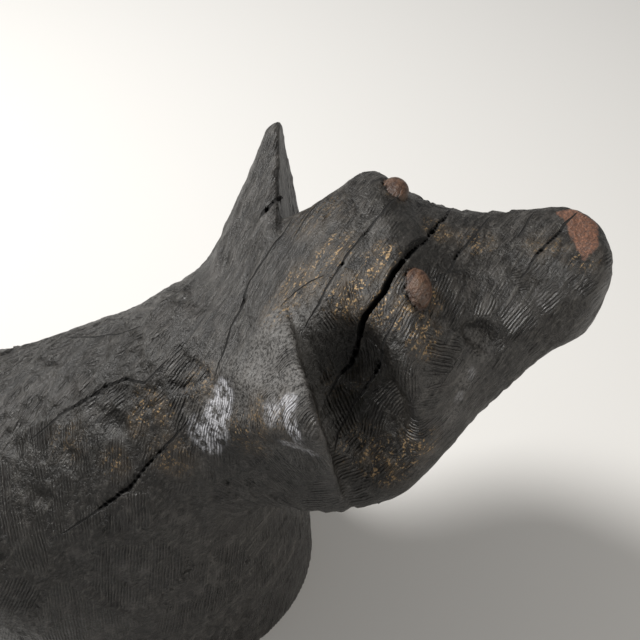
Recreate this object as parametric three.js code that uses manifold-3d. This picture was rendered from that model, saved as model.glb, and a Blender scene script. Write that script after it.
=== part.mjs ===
// A bear's head, neck and shoulders carved from one log with a chain saw, cut flat below.
// Millimetres, +Z up. The bear looks along -Y and its right side is -X.
// The origin is the middle of the flat cut that the log stands on.
import * as THREE from "three";
import Module from "manifold-3d";
import { mergeVertices } from "three/addons/utils/BufferGeometryUtils.js";

const wasm = await Module();
wasm.setup();

// ---- sizes -------------------------------------------------------------------------------
const BROW_HEIGHT = 430; // the brow's level above the flat cut
const BROW_FORWARD = 250; // the brow stands this far in front of the middle of the cut

// The head in cross-sections across its length, measured from the brow:
// forward, top, level of the widest place, half width there, depth of the underside below it
const HEAD = [
  [-190, -102, -170, 104, 60],
  [-130, -50, -160, 124, 62],
  [-90, -16, -152, 139, 62],
  [-61, 3, -146, 146, 60],
  [-32, 11, -140, 147, 58],
  [-10, 14, -132, 142, 54],
  [25, -9, -116, 118, 48],
  [56, -19, -98, 95, 42],
  [90, -18, -78, 77, 38],
  [123, -11, -62, 65, 34],
  [185, -11, -50, 56, 30],
];
const HEAD_SQUARENESS = 2.5; // 2 is an ellipse, more is flatter on top and at the sides
const SNOUT_CUTS = [
  // the flats that end the snout: slope in degrees, forward, up
  [24, 178, -40],
  [-20, 176, -45],
];
const SNOUT_CORNER = { turn: 40, forward: 166, side: 32 };
const NAPE_END = -200;

// Each ear is a thick flap. Corners as forward, side, up.
const EAR_TOP = [-98, 58, -27]; // the front rim starts here on the crown
const EAR_FOOT = [-66, 136, -146]; // and ends here on the cheek
const EAR_TIP = [-86, 168, -16];
const EAR_THICK = 12.5;
const HOLLOW = { long: 74, across: 42, deep: 28, ahead: 24, out: 26 };

// The eyes are carved bumps: place as forward, side, up; half sizes along the head, across, up
const EYE = { at: [0, 57, 1], half: [11, 17, 9], lean: 18 };

// Neck and shoulders: round bars from one place to the next, forward, up, radius
const NECK = [
  [-120, -160, 92],
  [-163, -180, 100],
  [-230, -250, 122],
  [-343, -306, 144],
];
const LOG = { halfLong: 170, halfWide: 150, top: -275 };
const BACK_CUT = -425;

// Shallow scoops left by the saw's nose: forward, side (right is plus), up, half sizes
const SCOOPS = [
  { at: [100, 34, -12], half: [26, 15, 10], turn: 24 },
  { at: [62, 84, -32], half: [30, 14, 20], turn: 30 },
  { at: [96, -6, -6], half: [34, 16, 6], turn: 8 },
  { at: [-248, 64, -128], half: [15, 9, 12], turn: 40 },
  { at: [-287, 74, -150], half: [13, 8, 12], turn: 35 },
  { at: [-317, 96, -180], half: [16, 9, 12], turn: 35 },
  { at: [-303, -34, -138], half: [13, 10, 10], turn: 20 },
  { at: [-318, 33, -142], half: [14, 9, 10], turn: 30 },
  { at: [-338, 52, -158], half: [12, 8, 10], turn: 30 },
];
// The broad facets of the carving
const FACETS = { depth: 1.7, length: 52, width: 30 };

// Drying cracks: [forward, side] along each one, its widest opening and its depth
const CRACKS = [
  {
    width: 8,
    depth: 26,
    path: [[50, -56], [24, -15], [1, 22], [-16, 44], [-28, 61], [-43, 75], [-56, 80], [-66, 84]],
  },
  { width: 4, depth: 14, path: [[-22, 84], [-36, 88], [-50, 94], [-66, 110]] },
  { width: 4, depth: 14, path: [[2, -44], [-15, -20], [-30, -1], [-50, 20], [-72, 49], [-88, 62]] },
  {
    width: 4,
    depth: 14,
    path: [[-88, -50], [-99, -36], [-110, -26], [-127, -9], [-136, 15], [-153, 50], [-160, 63]],
  },
  { width: 3.5, depth: 12, path: [[82, -46], [60, -16], [46, 1], [32, 26], [12, 52]] },
  { width: 3.5, depth: 12, path: [[149, -26], [125, -3], [110, 10], [98, 24], [88, 34]] },
  { width: 4.5, depth: 14, path: [[-189, 82], [-224, 92], [-240, 101], [-279, 110], [-300, 114]] },
  { width: 3.5, depth: 12, path: [[-200, 35], [-220, 44], [-256, 29], [-290, 35], [-318, 48]] },
];

const WEDGE_RISE = 7.4; // each crack's wedge stands this far clear of the wood

// The measuring grid: how far apart its lines stand, and up to where
const GRID_X = [[-186, 12.4], [186, 12.4]];
const GRID_Y = [[-444, 12], [-188, 12], [-84, 10.5], [0, 24], [190, 32]];
const GRID_Z = [[-12, 37], [190, 34], [262, 18], [462, 12.2]];

const WOOD = new THREE.MeshStandardMaterial({ color: 0x3b3733, roughness: 0.72, metalness: 0 });
WOOD.name = "blackened_wood";

// ---- small helpers -----------------------------------------------------------------------
const clamp = (value, low, high) => Math.min(high, Math.max(low, value));

function smoothMin(a, b, reach) {
  const h = clamp(0.5 + (0.5 * (b - a)) / reach, 0, 1);
  return b + (a - b) * h - reach * h * (1 - h);
}

const smoothMax = (a, b, reach) => -smoothMin(-a, -b, reach);

function turned(a, b, degrees) {
  const angle = THREE.MathUtils.degToRad(degrees);
  const c = Math.cos(angle);
  const s = Math.sin(angle);
  return [c * a + s * b, -s * a + c * b];
}

const vector = (list) => new THREE.Vector3(list[0], list[1], list[2]);

// Distance to an ellipsoid centred on the origin, close near its surface
function ellipsoid(a, b, c, half) {
  const near = Math.hypot(a / half[0], b / half[1], c / half[2]) + 1e-9;
  const steep = Math.hypot(a / half[0] ** 2, b / half[1] ** 2, c / half[2] ** 2) + 1e-12;
  return (near * (near - 1)) / steep;
}

// Distance to a round bar whose radius changes from one end to the other
function bar(p, from, to, radiusFrom, radiusTo) {
  const along = to.clone().sub(from);
  const offset = p.clone().sub(from);
  const t = clamp(offset.dot(along) / along.lengthSq(), 0, 1);
  const radius = radiusFrom + (radiusTo - radiusFrom) * t;
  return offset.addScaledVector(along, -t).length() - radius;
}

// Distance to a flat triangle
const corners = new THREE.Triangle();
const nearest = new THREE.Vector3();
function sheet(p, a, b, c) {
  corners.set(a, b, c);
  corners.closestPointToPoint(p, nearest);
  return nearest.distanceTo(p);
}

// ---- the form, in forward / side / up from the brow ----------------------------------------
// A smooth curve through one column of the head's cross-sections
function headValue(forward, column) {
  const last = HEAD.length - 1;
  const u = clamp(forward, HEAD[0][0], HEAD[last][0]);
  let i = 0;
  while (i < last - 1 && u > HEAD[i + 1][0]) i += 1;
  const slope = (k) => {
    const before = HEAD[Math.max(k - 1, 0)];
    const after = HEAD[Math.min(k + 1, last)];
    return (after[column] - before[column]) / (after[0] - before[0]);
  };
  const run = HEAD[i + 1][0] - HEAD[i][0];
  const t = (u - HEAD[i][0]) / run;
  const t2 = t * t;
  const t3 = t2 * t;
  return (
    (2 * t3 - 3 * t2 + 1) * HEAD[i][column] +
    (t3 - 2 * t2 + t) * run * slope(i) +
    (-2 * t3 + 3 * t2) * HEAD[i + 1][column] +
    (t3 - t2) * run * slope(i + 1)
  );
}

function head(forward, side, up) {
  const top = headValue(forward, 1);
  const widest = headValue(forward, 2);
  const halfWidth = headValue(forward, 3);
  const drop = headValue(forward, 4);
  const rise = up - widest;
  const halfHeight = rise > 0 ? top - widest : drop;
  const n = HEAD_SQUARENESS;
  const a = Math.abs(side) / halfWidth;
  const b = Math.abs(rise) / halfHeight;
  const r = (a ** n + b ** n) ** (1 / n) + 1e-9;
  const steep = r ** (1 - n) * Math.hypot(a ** (n - 1) / halfWidth, b ** (n - 1) / halfHeight);
  let d = 0.85 * clamp((r - 1) / (steep + 1e-6), -200, 400);
  for (const [slope, atForward, atUp] of SNOUT_CUTS) {
    d = smoothMax(d, turned(forward - atForward, up - atUp, slope)[0], 12);
  }
  const corner = turned(
    forward - SNOUT_CORNER.forward,
    Math.abs(side) - SNOUT_CORNER.side,
    SNOUT_CORNER.turn,
  )[0];
  d = smoothMax(d, corner, 14);
  return smoothMax(d, NAPE_END - forward, 50);
}

// The plane of the ear's front face, and the directions in it
const earTop = vector(EAR_TOP);
const earFoot = vector(EAR_FOOT);
const earTip = vector(EAR_TIP);
const earLine = earFoot.clone().sub(earTop).normalize();
const earFront = earFoot.clone().sub(earTop).cross(earTip.clone().sub(earTop)).normalize();
if (earFront.x < 0) earFront.negate();
const earOut = earLine.clone().cross(earFront);
if (earOut.y < 0) earOut.negate();
const hollowAt = earTop.clone().add(earFoot).multiplyScalar(0.5);
hollowAt.addScaledVector(earFront, HOLLOW.ahead).addScaledVector(earOut, HOLLOW.out);

// The corners of the ear's flap and of its root on the neck
const flapTop = earTop.clone().add(vector([-6, -4, -16]));
const flapFoot = earFoot.clone().add(vector([-4, -10, 0]));
const flapTip = earTip.clone().add(vector([0, -9, -7]));
const rootLow = vector([-152, 86, -112]);
const rootHigh = vector([-140, 66, -76]);

function ear(p) {
  let d = sheet(p, flapTop, flapFoot, flapTip);
  d = smoothMin(d, sheet(p, flapTip, flapFoot, rootLow), 12);
  d = smoothMin(d, sheet(p, flapTip, rootLow, rootHigh), 12);
  d = smoothMin(d, sheet(p, flapTip, rootHigh, flapTop), 12);
  return d - EAR_THICK;
}

function hollow(p) {
  const offset = p.clone().sub(hollowAt);
  const half = [HOLLOW.long, HOLLOW.across, HOLLOW.deep];
  return ellipsoid(offset.dot(earLine), offset.dot(earFront), offset.dot(earOut), half);
}

function body(forward, side, up) {
  const p = new THREE.Vector3(forward, side, up);
  let d = Infinity;
  const reach = [0, 20, 30];
  for (let i = 0; i < NECK.length - 1; i += 1) {
    const [f0, u0, r0] = NECK[i];
    const [f1, u1, r1] = NECK[i + 1];
    const piece = bar(p, new THREE.Vector3(f0, 0, u0), new THREE.Vector3(f1, 0, u1), r0, r1);
    d = i === 0 ? piece : smoothMin(d, piece, reach[i]);
  }
  const ring = Math.hypot((forward + BROW_FORWARD) / LOG.halfLong, side / LOG.halfWide);
  const log = smoothMax((ring - 1) * LOG.halfWide, up - LOG.top, 80);
  d = smoothMin(d, log, 50);
  return smoothMax(d, BACK_CUT - forward, 50);
}

function scoop(forward, side, up, shape) {
  const [a, b] = turned(forward - shape.at[0], side - shape.at[1], shape.turn);
  return ellipsoid(a, b, up - shape.at[2], shape.half);
}

// Broad, shallow facets that lie aslant across the wood
function facets(forward, side, up) {
  const [a, b] = turned(forward + 0.6 * up, side, 52);
  const sway = 9 * Math.sin(a / 31) + 6 * Math.sin(up / 27);
  const across = Math.abs(Math.sin((Math.PI * (b + sway)) / FACETS.width));
  const along = Math.abs(Math.sin((Math.PI * (a + 0.7 * b)) / FACETS.length));
  return FACETS.depth * (1 - across * (0.55 + 0.45 * along));
}

// Distance to the whole carving, without its cracks
function carving(x, y, z) {
  const forward = -y - BROW_FORWARD;
  const right = -x;
  const side = Math.hypot(x, 2);
  const up = z - BROW_HEIGHT;
  const p = new THREE.Vector3(forward, side, up);
  const skull = head(forward, side, up);
  const trunk = body(forward, side, up);
  const face = smoothMin(smoothMax(skull, -hollow(p), 24), trunk, 22);
  const whole = smoothMin(smoothMin(skull, ear(p), 20), trunk, 22);
  const front = earFront.dot(p.clone().sub(earTip));
  let d = smoothMin(face, smoothMax(whole, front, 4), 5);
  d -= FACETS.depth * 0.5 - facets(forward, right, up);
  for (const shape of SCOOPS) {
    d = smoothMax(d, -scoop(forward, right, up, shape), 5);
  }
  return Math.max(d, -z);
}

// ---- from the form to a closed surface ------------------------------------------------------
function gridLines(stops) {
  const lines = [stops[0][0]];
  for (let k = 1; k < stops.length; k += 1) {
    const from = stops[k - 1][0];
    const to = stops[k][0];
    const parts = Math.max(1, Math.round((to - from) / stops[k][1]));
    for (let i = 1; i <= parts; i += 1) lines.push(from + ((to - from) * i) / parts);
  }
  return lines;
}

function gradient(x, y, z) {
  const e = 0.4;
  const g = new THREE.Vector3(
    carving(x + e, y, z) - carving(x - e, y, z),
    carving(x, y + e, z) - carving(x, y - e, z),
    carving(x, y, z + e) - carving(x, y, z - e),
  );
  return g.normalize();
}

// The point of a grid edge where the surface crosses it
function crossing(a, b, da, db) {
  let lo = 0;
  let hi = 1;
  let dlo = da;
  let dhi = db;
  let t = 0.5;
  for (let i = 0; i < 6; i += 1) {
    t = clamp(lo + ((hi - lo) * dlo) / (dlo - dhi), lo + 0.02 * (hi - lo), hi - 0.02 * (hi - lo));
    const p = a.clone().lerp(b, t);
    const d = carving(p.x, p.y, p.z);
    if (d < 0 === dlo < 0) {
      lo = t;
      dlo = d;
    } else {
      hi = t;
      dhi = d;
    }
  }
  return a.clone().lerp(b, t);
}

// The point of a cell that best fits all the tangent planes found on its edges
function fit(points, normals, low, high) {
  const mean = new THREE.Vector3();
  points.forEach((p) => mean.addScaledVector(p, 1 / points.length));
  const m = new THREE.Matrix3().set(0, 0, 0, 0, 0, 0, 0, 0, 0);
  const e = m.elements;
  const rhs = new THREE.Vector3();
  points.forEach((p, i) => {
    const n = normals[i];
    const w = n.dot(p.clone().sub(mean));
    rhs.addScaledVector(n, w);
    e[0] += n.x * n.x;
    e[1] += n.x * n.y;
    e[2] += n.x * n.z;
    e[4] += n.y * n.y;
    e[5] += n.y * n.z;
    e[8] += n.z * n.z;
  });
  e[3] = e[1];
  e[6] = e[2];
  e[7] = e[5];
  for (const i of [0, 4, 8]) e[i] += 0.12;
  const spot = rhs.applyMatrix3(m.invert()).add(mean);
  const margin = high.clone().sub(low).multiplyScalar(0.06);
  spot.clamp(low.clone().add(margin), high.clone().sub(margin));
  return spot;
}

// Where only two diagonal corners of a grid square are inside, the surface would touch itself.
// The corner nearest the surface changes sides, until no such square or cube is left.
function settle(value, at, nx, ny, nz) {
  const SQUARES = [
    [[0, 0, 0], [1, 0, 0], [1, 1, 0], [0, 1, 0]],
    [[0, 0, 0], [1, 0, 0], [1, 0, 1], [0, 0, 1]],
    [[0, 0, 0], [0, 1, 0], [0, 1, 1], [0, 0, 1]],
  ];
  const swap = (places) => {
    const weakest = places.reduce((p, q) => (Math.abs(value[q]) < Math.abs(value[p]) ? q : p));
    value[weakest] = value[weakest] < 0 ? 1e-3 : -1e-3;
  };
  for (let round = 0; round < 20; round += 1) {
    let changed = 0;
    for (let k = 0; k < nz - 1; k += 1) {
      for (let j = 0; j < ny - 1; j += 1) {
        for (let i = 0; i < nx - 1; i += 1) {
          for (const square of SQUARES) {
            const places = square.map(([a, b, c]) => at(i + a, j + b, k + c));
            const [p, q, r, s] = places.map((place) => value[place] < 0);
            if (p === r && q === s && p !== q) {
              swap(places);
              changed += 1;
            }
          }
          const cube = [];
          for (let n = 0; n < 8; n += 1) cube.push(at(i + (n & 1), j + ((n >> 1) & 1), k + (n >> 2)));
          for (let n = 0; n < 4; n += 1) {
            const pair = [cube[n], cube[7 - n]];
            const rest = cube.filter((place) => !pair.includes(place));
            const alone = value[pair[0]] < 0;
            const opposite = value[pair[1]] < 0 === alone;
            if (opposite && rest.every((place) => value[place] < 0 !== alone)) {
              swap(pair);
              changed += 1;
            }
          }
        }
      }
    }
    if (changed === 0) return;
  }
}

function closedSurface(xs, ys, zs) {
  const nx = xs.length;
  const ny = ys.length;
  const nz = zs.length;
  const at = (i, j, k) => (k * ny + j) * nx + i;
  const value = new Float64Array(nx * ny * nz);
  for (let k = 0; k < nz; k += 1) {
    for (let j = 0; j < ny; j += 1) {
      for (let i = 0; i < nx; i += 1) value[at(i, j, k)] = carving(xs[i], ys[j], zs[k]);
    }
  }
  settle(value, at, nx, ny, nz);
  const node = (i, j, k) => new THREE.Vector3(xs[i], ys[j], zs[k]);
  const positions = [];
  const cellVertex = new Map();
  const edgeCache = new Map();
  const edgePoint = (i, j, k, axis) => {
    const key = at(i, j, k) * 3 + axis;
    if (!edgeCache.has(key)) {
      const to = [i, j, k];
      to[axis] += 1;
      const p = crossing(node(i, j, k), node(...to), value[at(i, j, k)], value[at(...to)]);
      edgeCache.set(key, { p, n: gradient(p.x, p.y, p.z) });
    }
    return edgeCache.get(key);
  };
  const vertexOf = (i, j, k) => {
    const key = at(i, j, k);
    if (cellVertex.has(key)) return cellVertex.get(key);
    const points = [];
    const normals = [];
    for (let axis = 0; axis < 3; axis += 1) {
      for (let n = 0; n < 4; n += 1) {
        const c = [i, j, k];
        c[(axis + 1) % 3] += n & 1;
        c[(axis + 2) % 3] += n >> 1;
        const to = [...c];
        to[axis] += 1;
        if (value[at(...c)] < 0 !== value[at(...to)] < 0) {
          const found = edgePoint(...c, axis);
          points.push(found.p);
          normals.push(found.n);
        }
      }
    }
    const spot = fit(points, normals, node(i, j, k), node(i + 1, j + 1, k + 1));
    if (Math.abs(spot.z) < 0.6) spot.z = 0;
    positions.push(spot.x, spot.y, spot.z);
    cellVertex.set(key, positions.length / 3 - 1);
    return cellVertex.get(key);
  };
  const point = (v) => new THREE.Vector3(positions[3 * v], positions[3 * v + 1], positions[3 * v + 2]);
  const faces = [];
  for (let k = 0; k < nz - 1; k += 1) {
    for (let j = 0; j < ny - 1; j += 1) {
      for (let i = 0; i < nx - 1; i += 1) {
        for (let axis = 0; axis < 3; axis += 1) {
          const to = [i, j, k];
          to[axis] += 1;
          const inside = value[at(i, j, k)] < 0;
          if (inside === value[at(...to)] < 0) continue;
          const ring = [[0, 0], [1, 0], [1, 1], [0, 1]].map(([b, c]) => {
            const cell = [i, j, k];
            cell[(axis + 1) % 3] -= b;
            cell[(axis + 2) % 3] -= c;
            return vertexOf(...cell);
          });
          if (!inside) ring.reverse();
          const [a, b, c, d] = ring;
          const straight = point(a).distanceTo(point(c)) <= point(b).distanceTo(point(d));
          if (straight) faces.push([a, b, c], [a, c, d]);
          else faces.push([a, b, d], [b, c, d]);
        }
      }
    }
  }
  return { positions, faces };
}

function solidOf({ positions, faces }) {
  const mesh = new wasm.Mesh({
    numProp: 3,
    vertProperties: new Float32Array(positions),
    triVerts: new Uint32Array(faces.flat()),
  });
  return new wasm.Manifold(mesh);
}

// ---- the cracks ---------------------------------------------------------------------------
// The height at which a plumb line first touches the carving
function surfaceBelow(x, y) {
  let z = 475;
  for (let i = 0; i < 400; i += 1) {
    const d = carving(x, y, z);
    if (d < 0.05) break;
    z -= Math.max(0.3 * d, 0.1);
  }
  return z;
}

// A wedge that follows a crack: widest in the middle, running out at both ends
function crackWedge({ path, width, depth }) {
  const on = path.map(([forward, side]) => {
    const x = -side;
    const y = -forward - BROW_FORWARD;
    return new THREE.Vector3(x, y, surfaceBelow(x, y));
  });
  const positions = [];
  const last = on.length - 1;
  on.forEach((p, i) => {
    const along = on[Math.min(i + 1, last)].clone().sub(on[Math.max(i - 1, 0)]).normalize();
    const out = gradient(p.x, p.y, p.z);
    const across = out.clone().cross(along).normalize();
    const t = i / last;
    const half = 0.5 * width * Math.max(0.22, Math.sin(Math.PI * (0.08 + 0.84 * t)) ** 0.8);
    const lift = out.clone().multiplyScalar(WEDGE_RISE);
    const splay = 1 + WEDGE_RISE / depth;
    const left = p.clone().addScaledVector(across, -half * splay).add(lift);
    const right = p.clone().addScaledVector(across, half * splay).add(lift);
    const low = p.clone().addScaledVector(out, -depth * (0.4 + 0.6 * Math.sin(Math.PI * t)));
    for (const q of [left, right, low]) positions.push(q.x, q.y, q.z);
  });
  const faces = [[0, 2, 1], [3 * last, 3 * last + 1, 3 * last + 2]];
  for (let i = 0; i < last; i += 1) {
    for (let k = 0; k < 3; k += 1) {
      const a = 3 * i + k;
      const b = 3 * i + ((k + 1) % 3);
      faces.push([a, b, b + 3], [a, b + 3, a + 3]);
    }
  }
  return { positions, faces };
}

function outward(shape) {
  const solid = solidOf(shape);
  if (solid.volume() > 0) return solid;
  return solidOf({ positions: shape.positions, faces: shape.faces.map(([a, b, c]) => [a, c, b]) });
}

// ---- the eyes ------------------------------------------------------------------------------
// One eye, on the right side for 1 and on the left for -1
function eye(hand) {
  const [forward, side, up] = EYE.at;
  const shape = new THREE.SphereGeometry(1, 18, 12);
  shape.scale(EYE.half[1], EYE.half[0], EYE.half[2]);
  shape.rotateY(THREE.MathUtils.degToRad(-hand * EYE.lean));
  shape.translate(-hand * side, -forward - BROW_FORWARD, up + BROW_HEIGHT);
  shape.deleteAttribute("normal");
  shape.deleteAttribute("uv");
  const joined = mergeVertices(shape);
  const index = Array.from(joined.index.array);
  const faces = [];
  for (let i = 0; i < index.length; i += 3) {
    const [a, b, c] = index.slice(i, i + 3);
    if (a !== b && b !== c && a !== c) faces.push([a, b, c]);
  }
  return { positions: Array.from(joined.attributes.position.array), faces };
}

// ---- the bear -------------------------------------------------------------------------------
function bearGeometry() {
  let solid = solidOf(closedSurface(gridLines(GRID_X), gridLines(GRID_Y), gridLines(GRID_Z)));
  for (const hand of [1, -1]) solid = solid.add(outward(eye(hand)));
  for (const crack of CRACKS) solid = solid.subtract(outward(crackWedge(crack)));
  const { vertProperties, triVerts } = solid.getMesh();
  const geometry = new THREE.BufferGeometry();
  geometry.setAttribute("position", new THREE.BufferAttribute(vertProperties, 3));
  geometry.setIndex(new THREE.BufferAttribute(triVerts, 1));
  geometry.computeVertexNormals();
  return geometry;
}

const bear = new THREE.Group();
const carved = new THREE.Mesh(bearGeometry(), WOOD);
carved.name = "carved_bear";
bear.add(carved);

export default bear;
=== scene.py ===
# A bear's head, neck and shoulders carved from one log with a chain saw, blackened and cracked.
# The carving is one closed surface, made from named sizes in millimetres. The bear looks along -Y,
# its right side is -X, and it stands on the flat cut at the bottom of the frame's box.
import math
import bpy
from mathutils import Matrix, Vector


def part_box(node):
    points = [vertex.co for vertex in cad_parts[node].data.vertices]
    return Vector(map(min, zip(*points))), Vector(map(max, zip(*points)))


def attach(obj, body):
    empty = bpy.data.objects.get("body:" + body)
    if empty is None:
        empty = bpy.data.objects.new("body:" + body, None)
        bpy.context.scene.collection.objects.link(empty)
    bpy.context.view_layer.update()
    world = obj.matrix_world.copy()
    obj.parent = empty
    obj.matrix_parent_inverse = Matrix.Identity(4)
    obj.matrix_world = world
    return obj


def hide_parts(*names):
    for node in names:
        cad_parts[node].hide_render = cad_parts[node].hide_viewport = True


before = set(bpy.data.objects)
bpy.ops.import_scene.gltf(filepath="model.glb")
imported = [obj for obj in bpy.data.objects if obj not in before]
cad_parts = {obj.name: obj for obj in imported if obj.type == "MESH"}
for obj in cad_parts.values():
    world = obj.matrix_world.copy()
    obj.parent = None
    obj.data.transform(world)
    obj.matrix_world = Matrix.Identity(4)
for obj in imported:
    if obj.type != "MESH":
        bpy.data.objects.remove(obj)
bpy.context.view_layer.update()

from types import SimpleNamespace

import bpy
import numpy as np
from mathutils import Vector

LOW, HIGH = [np.array(corner) * 1000.0 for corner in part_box("carved_bear")]

# ---- where the form stands in the frame -------------------------------------------------------
# Places on the carving are given as forward, side (its right is plus) and up from the brow.
BROW_BEHIND_NOSE = 174.6
BROW_BELOW_TOP = 15.6
BROW_FORWARD = -LOW[1] - BROW_BEHIND_NOSE
BROW_HEIGHT = HIGH[2] - BROW_BELOW_TOP
FLOOR = LOW[2]

# ---- sizes of the form ------------------------------------------------------------------------
# Cross-sections of the head: forward, top, level of the widest place, half width, drop below it
HEAD = np.array([
    [-190, -102, -170, 104, 60],
    [-130, -50, -160, 124, 62],
    [-90, -16, -152, 139, 62],
    [-61, 3, -146, 146, 60],
    [-32, 11, -140, 147, 58],
    [-10, 14, -132, 142, 54],
    [25, -9, -116, 118, 48],
    [56, -19, -98, 95, 42],
    [90, -18, -78, 77, 38],
    [123, -11, -62, 65, 34],
    [185, -11, -50, 56, 30],
], float)
HEAD_SQUARENESS = 2.5
SNOUT_CUTS = [(24, 178, -40), (-20, 176, -45)]
SNOUT_CORNER = (40, 166, 32)
NAPE_END = -200

EAR_TOP = np.array([-98.0, 58.0, -27.0])
EAR_FOOT = np.array([-66.0, 136.0, -146.0])
EAR_TIP = np.array([-86.0, 168.0, -16.0])
EAR_THICK = 12.5
HOLLOW_HALF = (74, 42, 28)
HOLLOW_AHEAD = 24
HOLLOW_OUT = 26

EYE_AT = (0, 57, 1)
EYE_HALF = (11, 17, 9)
EYE_LEAN = 18

NECK = [(-120, -160, 92), (-163, -180, 100), (-230, -250, 122), (-343, -306, 144)]
LOG_HALF = (170, 150)
LOG_TOP = -275
BACK_CUT = -425

# Shallow scoops left by the saw's nose: place, half sizes, turn in degrees
SCOOPS = [
    ((100, 34, -12), (26, 15, 10), 24),
    ((62, 84, -32), (30, 14, 20), 30),
    ((96, -6, -6), (34, 16, 6), 8),
    ((-248, 64, -128), (15, 9, 12), 40),
    ((-287, 74, -150), (13, 8, 12), 35),
    ((-317, 96, -180), (16, 9, 12), 35),
    ((-303, -34, -138), (13, 10, 10), 20),
    ((-318, 33, -142), (14, 9, 10), 30),
    ((-338, 52, -158), (12, 8, 10), 30),
]

# Drying cracks: widest opening, depth, and [forward, side] along each one
CRACKS = [
    (4.8, 30, [
        (49, -56), (38, -36), (24, -15), (13, 4), (1, 22), (-8, 35),
        (-16, 44), (-28, 61), (-43, 75), (-54, 79), (-64, 83), (-71, 90),
    ]),
    (2.5, 14, [(-20, 82), (-36, 88), (-42, 90), (-50, 94), (-66, 110), (-70, 120)]),
    (2.1, 14, [(2, -44), (-15, -20), (-30, -1), (-50, 20), (-61, 35), (-72, 49), (-90, 66)]),
    (2.2, 14, [
        (-86, -54), (-99, -36), (-110, -26), (-127, -9), (-136, 15), (-145, 27),
        (-153, 50), (-162, 66),
    ]),
    (2.4, 10, [(-91, -98), (-106, -73), (-117, -64)]),
    (1.7, 10, [(-28, -88), (-57, -61), (-70, -49), (-84, -32), (-92, -20)]),
    (1.9, 12, [(82, -46), (60, -16), (46, 1), (32, 26), (10, 58)]),
    (2.4, 12, [(150, -30), (125, -3), (110, 10), (98, 24), (88, 34)]),
    (1.1, 5, [(2, 42), (14, 41), (28, 30), (42, 24), (55, 17)]),
    (2.9, 16, [(-184, 80), (-200, 86), (-224, 92), (-240, 101), (-279, 110), (-302, 114)]),
    (2.4, 13, [
        (-196, 32), (-210, 40), (-220, 44), (-238, 31), (-256, 29), (-272, 33),
        (-290, 35), (-322, 50),
    ]),
    (1.7, 10, [(-302, -65), (-267, -36), (-245, -22), (-219, -9)]),
    (1.1, 6, [(-62, 34), (-80, 30), (-98, 34), (-112, 45)]),
    (1.1, 6, [(20, -8), (5, 10), (-5, 24)]),
    (1.1, 6, [(118, -42), (104, -20), (92, -4)]),
    (1.2, 7, [(-170, -60), (-190, -40), (-214, -28)]),
]


# ---- small helpers ----------------------------------------------------------------------------
def smooth_min(a, b, reach):
    h = np.clip(0.5 + 0.5 * (b - a) / reach, 0, 1)
    return b + (a - b) * h - reach * h * (1 - h)


def smooth_max(a, b, reach):
    return -smooth_min(-a, -b, reach)


def turned(a, b, degrees):
    c = math.cos(math.radians(degrees))
    s = math.sin(math.radians(degrees))
    return c * a + s * b, -s * a + c * b


def ramp(x, start, end):
    t = np.clip((x - start) / (end - start), 0, 1)
    return t * t * (3 - 2 * t)


def unit(v):
    return v / np.linalg.norm(v)


def ellipsoid(a, b, c, half):
    """Distance to an ellipsoid centred on the origin, close near its surface."""
    near = np.sqrt((a / half[0]) ** 2 + (b / half[1]) ** 2 + (c / half[2]) ** 2) + 1e-9
    steep = np.sqrt((a / half[0] ** 2) ** 2 + (b / half[1] ** 2) ** 2 + (c / half[2] ** 2) ** 2)
    return near * (near - 1) / (steep + 1e-12)


def bar(p, start, end, radius_start, radius_end):
    """Distance to a round bar whose radius changes from one end to the other."""
    along = end - start
    offset = p - start
    t = np.clip(offset @ along / (along @ along), 0, 1)
    gap = np.linalg.norm(offset - t[:, None] * along, axis=1)
    return gap - (radius_start + (radius_end - radius_start) * t)


def sheet(p, a, b, c):
    """Distance to a flat triangle."""
    n = np.cross(b - a, a - c)
    inside = np.zeros(len(p))
    edge = np.full(len(p), 1e12)
    for start, end in ((a, b), (b, c), (c, a)):
        side = end - start
        offset = p - start
        inside += np.sign(offset @ np.cross(side, n))
        t = np.clip(offset @ side / (side @ side), 0, 1)
        edge = np.minimum(edge, ((offset - t[:, None] * side) ** 2).sum(1))
    flat = ((p - a) @ n) ** 2 / (n @ n)
    return np.sqrt(np.where(inside < 2, edge, flat))


NOISE_SEED = np.random.default_rng(41)
NOISE_TURN = NOISE_SEED.permutation(256)
NOISE_TURN = np.concatenate([NOISE_TURN, NOISE_TURN, NOISE_TURN])
NOISE_VALUE = NOISE_SEED.uniform(-1, 1, 256)


def noise(p, size, shift=0.0):
    """Smooth noise from -1 to 1 with features of about that size."""
    q = p / size + shift
    cell = np.floor(q).astype(np.int64)
    f = q - cell
    f = f * f * f * (f * (6 * f - 15) + 10)
    cell &= 255
    total = np.zeros(len(p))
    for corner in range(8):
        i, j, k = corner & 1, (corner >> 1) & 1, corner >> 2
        weight = (
            (f[:, 0] if i else 1 - f[:, 0])
            * (f[:, 1] if j else 1 - f[:, 1])
            * (f[:, 2] if k else 1 - f[:, 2])
        )
        x = (cell[:, 0] + i) & 255
        y = (cell[:, 1] + j) & 255
        z = (cell[:, 2] + k) & 255
        total += weight * NOISE_VALUE[NOISE_TURN[NOISE_TURN[NOISE_TURN[x] + y] + z]]
    return total


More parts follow.
